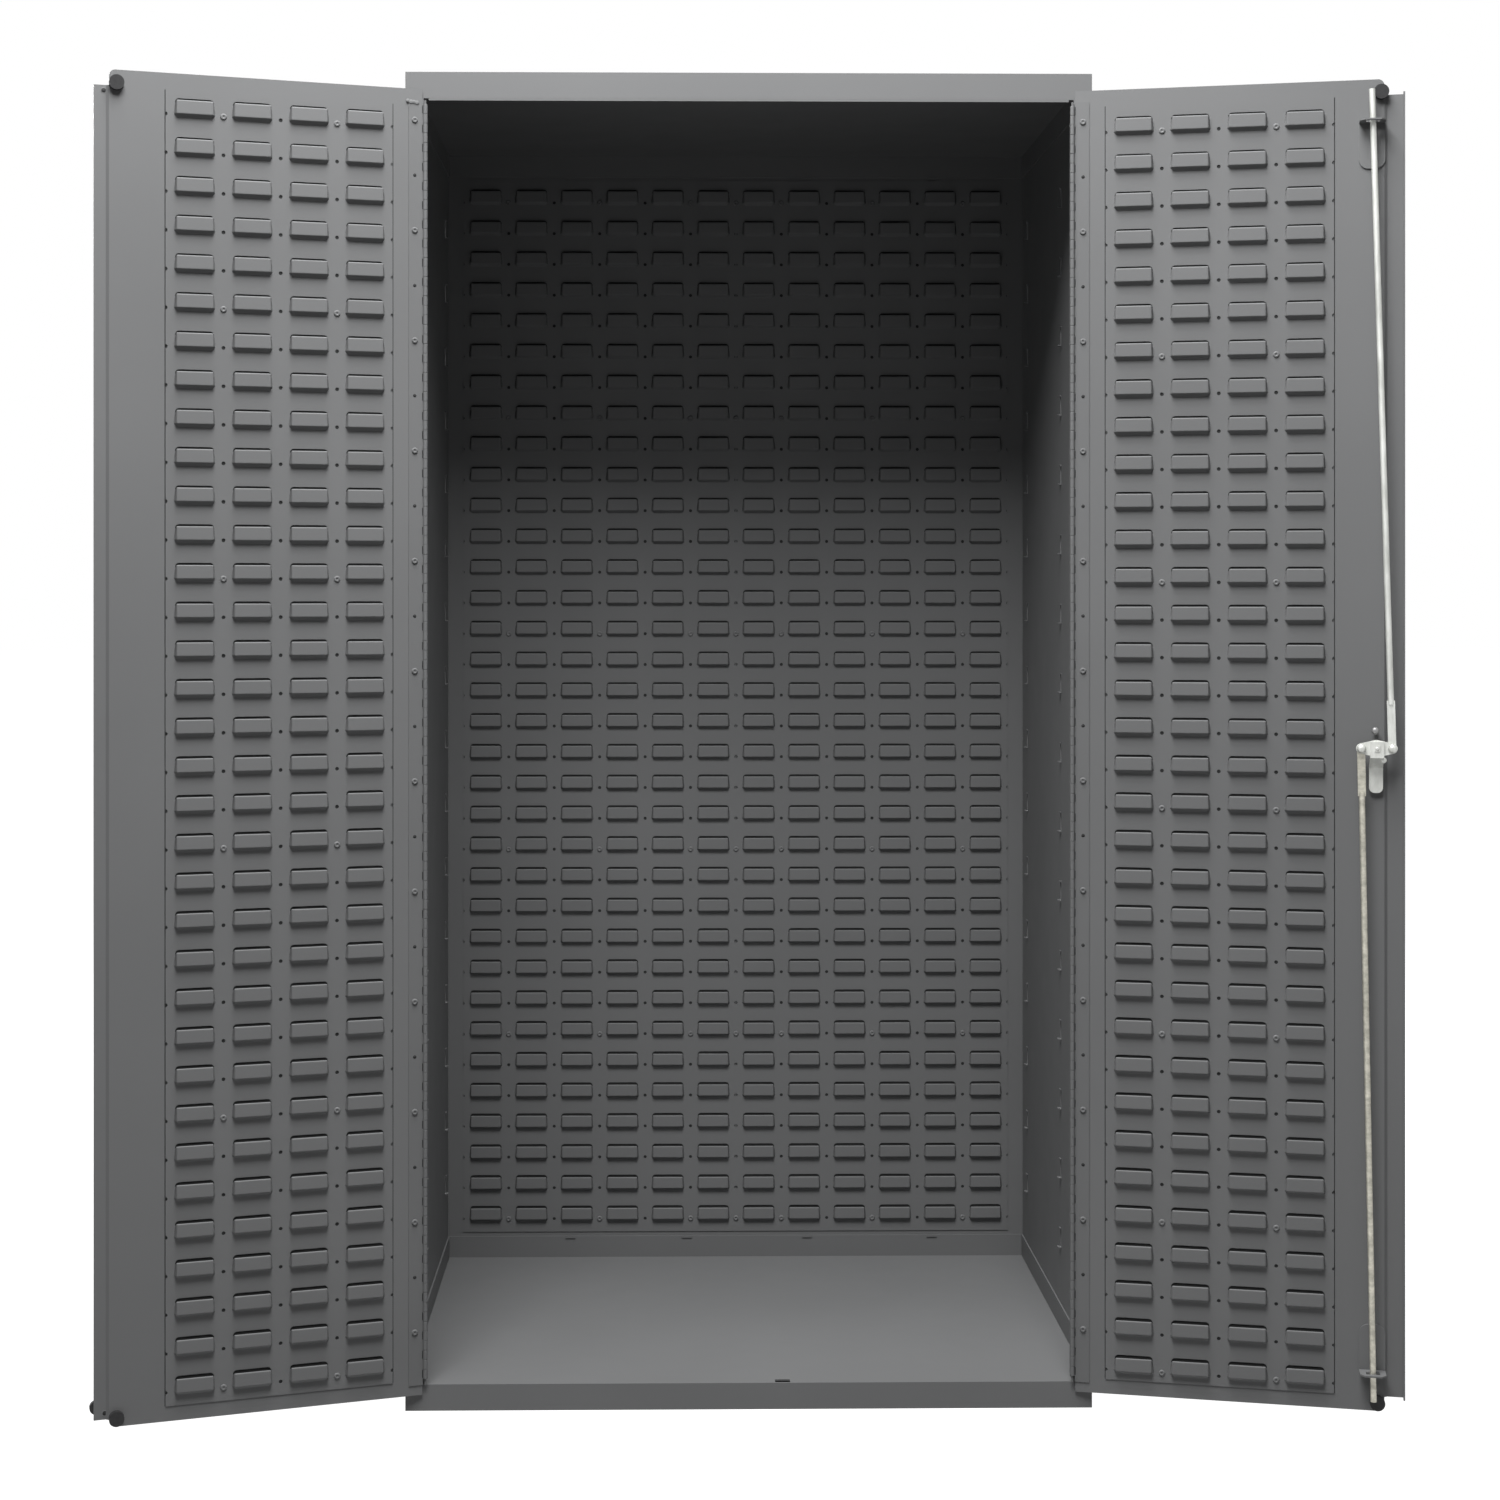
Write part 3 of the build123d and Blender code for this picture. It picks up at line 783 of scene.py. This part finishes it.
EAR_HEAD = [(5.6, 0), (5.9, 1.2), (5.3, 3.2), (3.6, 4.8), (0, 5.6)]
EAR_TAIL = [(4.6, 0), (4.4, 1.0), (0, 1.4)]
EAR_SIDES = 24
# The square stake on the finger, and the dome on top of it.
STAKE_HALF = 3.6
STAKE_HEIGHT = 0.9
STAKE_DOME_RADIUS = 2.4
STAKE_DOME_HEIGHT = 0.8
# The round boss at the finger's edge starts behind the cam's face.
LUG_RIGHT = 8.4
LUG_DOWN = 15.0
LUG_SINK = 2.3
LUG = [(3.4, 0), (3.8, 1.0), (3.8, 2.2), (3.2, 3.0), (0, 3.4)]
# The handle's screw, from the cam's middle.
SCREW_LEFT = 1.0
SCREW_UP = 22.0
SCREW = [(2.4, 0), (2.4, 6.6), (4.9, 6.6), (4.9, 8.6), (4.2, 10.2), (2.6, 11.2), (0, 11.6)]
TRIM_SIDES = 20


def ear_rivets():
    """The rivets that hold the rods on the cam's ears, with their heads and tails."""
    shape = Shape()
    for x in (CAM_X - CAM_ARM, CAM_X + CAM_ARM):
        shape.lathe((x, CAM_FACE, LATCH_HEIGHT), (0, 1, 0), EAR_HEAD, EAR_SIDES)
        shape.lathe((x, ROD_BACK, LATCH_HEIGHT), (0, -1, 0), EAR_TAIL, EAR_SIDES)
    shape.build("latch_ear_rivets", "latch", RIGHT_FRAME, ZINC, "zinc_plate")


def centre_stake():
    """The spindle's staked end on the finger, and the small boss at the finger's edge."""
    shape = Shape()
    left, right = CAM_X - STAKE_HALF, CAM_X + STAKE_HALF
    low, high = LATCH_HEIGHT - STAKE_HALF, LATCH_HEIGHT + STAKE_HALF
    top = FINGER_FACE + STAKE_HEIGHT
    shape.box(left, right, FINGER_FACE, top, low, high)
    shape.dome((CAM_X, top, LATCH_HEIGHT), (0, 1, 0), STAKE_DOME_RADIUS, STAKE_DOME_HEIGHT)
    lug = (CAM_X + LUG_RIGHT, CAM_FACE - LUG_SINK, LATCH_HEIGHT - LUG_DOWN)
    shape.lathe(lug, (0, 1, 0), LUG, TRIM_SIDES)
    shape.build("latch_centre_stake", "latch", RIGHT_FRAME, ZINC_LIT_COPY, "zinc_plate")


def handle_screw():
    """The screw above the cam that holds the handle's plate to the door."""
    shape = Shape()
    foot = (CAM_X - SCREW_LEFT, DOOR_INNER, LATCH_HEIGHT + SCREW_UP)
    shape.lathe(foot, (0, 1, 0), SCREW, TRIM_SIDES)
    shape.build("handle_screw", "right_door", RIGHT_FRAME, ZINC_DULL, "zinc_plate")


# Small marks on the sheet metal

# The tabs of a shelf slot: how far each stands in, at the slot's foot and at its head, and
# the heights of its corners.
TAB_HALF = 4.2
TAB_REACHES = (5.0, 2.2)
TAB_RISE = 1.0
TAB_THICKNESS = 1.2
TAB_ROOT = 1.6

# The dimpled holes in the left door's edge strip, each a disc of painted shade: the distance
# from the axis and the height of each, and the profiles of the hole and of the raised rim around
# it.
STRIP_HOLES = ((414.5, 1727.0), (413.0, 40.0))
STRIP_HOLE = [(2.9, 0), (2.9, 0.12), (0, 0.12)]
STRIP_RIM = [(3.9, 0), (3.6, 0.35), (3.1, 0.35), (2.9, 0.1)]
STRIP_HOLE_SIDES = 18

# The hem on the header's lower edge: how far it ends from the hinge's axis at each side, its
# thickness, and how far it reaches below the edge and laps over it.
HEM_END_GAP = 4.0
HEM_THICKNESS = 1.5
HEM_DROP = 2.8
HEM_LAP = 0.2

# Beads of the weld on the left door's leaf: distance from the axis, and below the leaf's top.
WELD_BEADS = ((11.0, 3.6), (15.0, 2.7), (19.0, 2.8), (23.0, 1.4))
WELD_RADII = (3.0, 2.7)
WELD_HEIGHT = 1.0
WELD_SIDES = 12

# Weld tabs on the rear flanges of deck and roof: middles, half the width, depth, and how far
# they reach below and above the flange's free edge.
TAB_WELD_X = (-262, -78, 112, 310)
TAB_WELD_HALF = 8
TAB_WELD_DEPTH = 1.5
DECK_WELD_REACH = (3.0, 0.6)
ROOF_WELD_REACH = (2.0, 1.0)


def slot_heights():
    """The middles of the shelf slots, from the lowest up."""
    span = CABINET_HEIGHT - SLOT_LAST_DROP - SLOT_FIRST
    return [SLOT_FIRST + row * span / (SLOT_ROWS - 1) for row in range(SLOT_ROWS)]


def slot_tab(shape, sign, y, low, reach):
    """One tab that stands in from a side wall, a little wider than the slot."""
    wall = HALF_WIDTH - SHEET
    outline = [
        (wall, low),
        (wall - reach, low + TAB_RISE),
        (wall - reach, low + TAB_RISE + TAB_THICKNESS),
        (wall, low + TAB_ROOT),
    ]
    outline = [(sign * x, z) for x, z in outline]
    if sign > 0:
        outline.reverse()
    shape.prism_y(outline, y - TAB_HALF, y + TAB_HALF)


def slot_tabs():
    """The small ledge pushed in at the foot of each shelf slot, and the lip over its head."""
    foot_reach, head_reach = TAB_REACHES
    for side, sign in (("left", -1), ("right", 1)):
        shape = Shape()
        for y in (FRONT + SLOT_FRONT_SETBACK, BACK - SLOT_BACK_SETBACK):
            for z in slot_heights():
                slot_tab(shape, sign, y, z - SLOT_HEIGHT / 2, foot_reach)
                slot_tab(shape, sign, y, z + SLOT_HEIGHT / 2, head_reach)
        shape.build("slot_tabs_" + side, "cabinet", Matrix.Identity(4), PAINT, "grey_paint")


def weld_marks():
    """Short spot-weld tabs on the rear flanges of the deck and the roof."""
    shape = Shape()
    back = BACK - 2 * SHEET
    deck_edge = SILL_HEIGHT + FLANGE_HEIGHT
    roof_edge = CABINET_HEIGHT - SHEET - FLANGE_HEIGHT
    edges = ((deck_edge, DECK_WELD_REACH), (roof_edge, ROOF_WELD_REACH))
    for x in TAB_WELD_X:
        left, right = x - TAB_WELD_HALF, x + TAB_WELD_HALF
        for edge, (below, above) in edges:
            shape.box(left, right, back - TAB_WELD_DEPTH, back, edge - below, edge + above)
    shape.build("flange_welds", "cabinet", Matrix.Identity(4), PAINT, "grey_paint")


def header_hem():
    """The folded hem along the header's lower edge, between the posts."""
    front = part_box("roof_tray")[0][1] / MM
    half = HINGE_X - HEM_END_GAP
    low, high = HEADER_LOW - HEM_DROP, HEADER_LOW + HEM_LAP
    shape = Shape()
    shape.box(-half, half, front, front + HEM_THICKNESS, low, high)
    shape.build("header_hem", "cabinet", Matrix.Identity(4), PAINT, "grey_paint")


def hinge_weld():
    """The short weld bead at the top of the left door's hinge leaf."""
    shape = Shape()
    for i, (x, drop) in enumerate(WELD_BEADS):
        place = (x, LEAF_FACE, HINGE_HIGH - drop)
        shape.dome(place, (0, 1, 0), WELD_RADII[i % 2], WELD_HEIGHT, WELD_SIDES)
    shape.build("hinge_weld_left", "left_door", LEFT_FRAME, PAINT, "grey_paint")


def strip_holes():
    """The two small dimpled holes near the ends of the left door's edge strip, as painted shade in
    a rim.
    """
    shape = Shape()
    rim = Shape()
    for x, z in STRIP_HOLES:
        shape.lathe((x, STRIP_INNER, z), (0, 1, 0), STRIP_HOLE, STRIP_HOLE_SIDES)
        rim.lathe((x, STRIP_INNER, z), (0, 1, 0), STRIP_RIM, STRIP_HOLE_SIDES)
    shape.build("strip_holes_left", "left_door", LEFT_FRAME, PAINTED_SHADE, "grey_paint")
    rim.build("strip_hole_rims_left", "left_door", LEFT_FRAME, PAINT, "grey_paint")


# The object

back_panels()
door_panels()
hinge("left", LEFT_SHUT, LEFT_FRAME)
hinge("right", RIGHT_SHUT, RIGHT_FRAME)
ear_rivets()
centre_stake()
handle_screw()
slot_tabs()
weld_marks()
header_hem()
hinge_weld()
strip_holes()
dress_cad_nodes()


# Stage, in metres

FLOOR_HALF = 40.0
FLOOR_DROP = 0.0005
FLOOR_COLOUR = (0.26, 0.26, 0.26, 1)
# The floor's own glow grows from the cabinet outwards: distances, and levels there.
GLOW_REACH = (1.5, 4.5)
GLOW_LEVELS = (0.955, 1.0)
# The unlit patch under the cabinet lies inside its outline, just over the floor.
SHADE_INSET = 0.02
SHADE_DROP = 0.0003
# The studio's white as the camera sees it, and as it lights the object.
STUDIO_SEEN = 1.0
STUDIO_LIGHT = 0.03

# Lamps: name, place, what it points at, size and power in watts.
LAMPS = (
    ("overhead_front", (-0.3, -1.9, 3.5), (0, -0.2, 0.8), (1.6, 1.0), 116),
    ("overhead_near", (-0.2, -0.9, 3.9), (0, -0.1, 0.0), (1.6, 0.8), 86),
    ("overhead_middle", (-0.2, -1.35, 3.9), (0, -0.3, 0.4), (1.6, 0.8), 28),
    ("behind_left", (-2.2, 2.6, 2.8), (0, 0.2, 0.9), (1.4, 1.4), 120),
    ("behind_right", (2.2, 2.6, 2.8), (0, 0.2, 0.9), (1.4, 1.4), 120),
)

# The camera stands level. Its shifts frame the cabinet as the photograph does.
CAMERA_PLACE = (-0.1117, -3.4918, 1.090)
CAMERA_PITCH = math.radians(90)
CAMERA_YAW = math.radians(-0.83)
CAMERA_REACH = 200.0
SENSOR_MM = 36.0
LENS_MM = 57.51
SHIFT_X = 0.03325
SHIFT_Y = -0.1067


def math_node(nodes, links, operation, first, second):
    node = nodes.new("ShaderNodeMath")
    node.operation = operation
    links.new(first, node.inputs[0])
    links.new(second, node.inputs[1])
    return node.outputs[0]


def seen_directly(nodes, links):
    """1 for what the camera, a reflection or a clear piece sees, 0 for light on the object."""
    path = nodes.new("ShaderNodeLightPath").outputs
    seen = math_node(nodes, links, "MAXIMUM", path["Is Camera Ray"], path["Is Glossy Ray"])
    return math_node(nodes, links, "MAXIMUM", seen, path["Is Transmission Ray"])


def glow_level(nodes, links):
    """The floor's glow, by the distance from the cabinet's middle."""
    reach = nodes.new("ShaderNodeVectorMath")
    reach.operation = "LENGTH"
    links.new(object_coords(nodes), reach.inputs[0])
    level = nodes.new("ShaderNodeMapRange")
    names = ("From Min", "From Max", "To Min", "To Max")
    for name, value in zip(names, GLOW_REACH + GLOW_LEVELS):
        level.inputs[name].default_value = value
    links.new(reach.outputs["Value"], level.inputs["Value"])
    return level.outputs["Result"]


def floor_material():
    """A pale floor that shows white, yet throws only soft light back on the object."""
    mat = bpy.data.materials.new("pale_floor")
    mat.use_nodes = True
    nodes, links = mat.node_tree.nodes, mat.node_tree.links
    nodes.clear()
    out = nodes.new("ShaderNodeOutputMaterial")
    diffuse = nodes.new("ShaderNodeBsdfDiffuse")
    diffuse.inputs["Color"].default_value = FLOOR_COLOUR
    glow = nodes.new("ShaderNodeEmission")
    seen, level = seen_directly(nodes, links), glow_level(nodes, links)
    links.new(math_node(nodes, links, "MULTIPLY", seen, level), glow.inputs["Strength"])
    both = nodes.new("ShaderNodeAddShader")
    links.new(diffuse.outputs[0], both.inputs[0])
    links.new(glow.outputs[0], both.inputs[1])
    links.new(both.outputs[0], out.inputs["Surface"])
    return mat


def level_sheet(name, half_x, half_y, z, mat):
    """A level rectangle around the cabinet's middle."""
    mesh = bpy.data.meshes.new(name)
    front = [(-half_x, -half_y, 0), (half_x, -half_y, 0)]
    back = [(half_x, half_y, 0), (-half_x, half_y, 0)]
    mesh.from_pydata(front + back, [], [(0, 1, 2, 3)])
    mesh.materials.append(mat)
    sheet = bpy.data.objects.new(name, mesh)
    sheet.location.z = z
    bpy.context.scene.collection.objects.link(sheet)
    return sheet


def stage():
    """The floor, and the unlit patch of it that shows through the hole in the deck."""
    floor = level_sheet("floor", FLOOR_HALF, FLOOR_HALF, -FLOOR_DROP, floor_material())
    half_x = HALF_WIDTH * MM - SHADE_INSET
    half_y = BACK * MM - SHADE_INSET
    patch = level_sheet("floor_shade", half_x, half_y, -SHADE_DROP, PAINTED_SHADE)


def world():
    """White where it is seen directly, and a faint even light on the object."""
    scene = bpy.context.scene
    background = bpy.data.worlds.new("studio")
    scene.world = background
    background.use_nodes = True
    nodes, links = background.node_tree.nodes, background.node_tree.links
    nodes.clear()
    out = nodes.new("ShaderNodeOutputWorld")
    mix = nodes.new("ShaderNodeMixShader")
    links.new(seen_directly(nodes, links), mix.inputs["Fac"])
    for socket, strength in ((1, STUDIO_LIGHT), (2, STUDIO_SEEN)):
        white = nodes.new("ShaderNodeBackground")
        white.inputs["Color"].default_value = (1, 1, 1, 1)
        white.inputs["Strength"].default_value = strength
        links.new(white.outputs[0], mix.inputs[socket])
    links.new(mix.outputs[0], out.inputs["Surface"])
    scene.view_settings.view_transform = "Standard"


def area(name, place, target, size, power):
    """A rectangular lamp that points at a target."""
    light = bpy.data.lights.new(name, "AREA")
    light.shape = "RECTANGLE"
    light.size, light.size_y = size
    light.energy = power
    lamp = bpy.data.objects.new(name, light)
    lamp.location = place
    lamp.rotation_euler = (Vector(target) - Vector(place)).to_track_quat("-Z", "Y").to_euler()
    bpy.context.scene.collection.objects.link(lamp)


def camera():
    data = bpy.data.cameras.new("camera")
    data.sensor_width = SENSOR_MM
    data.lens = LENS_MM
    data.shift_x = SHIFT_X
    data.shift_y = SHIFT_Y
    data.clip_end = CAMERA_REACH
    cam = bpy.data.objects.new("camera", data)
    cam.location = CAMERA_PLACE
    cam.rotation_euler = (CAMERA_PITCH, 0, CAMERA_YAW)
    bpy.context.scene.collection.objects.link(cam)
    bpy.context.scene.camera = cam


stage()
world()
for lamp in LAMPS:
    area(*lamp)
camera()
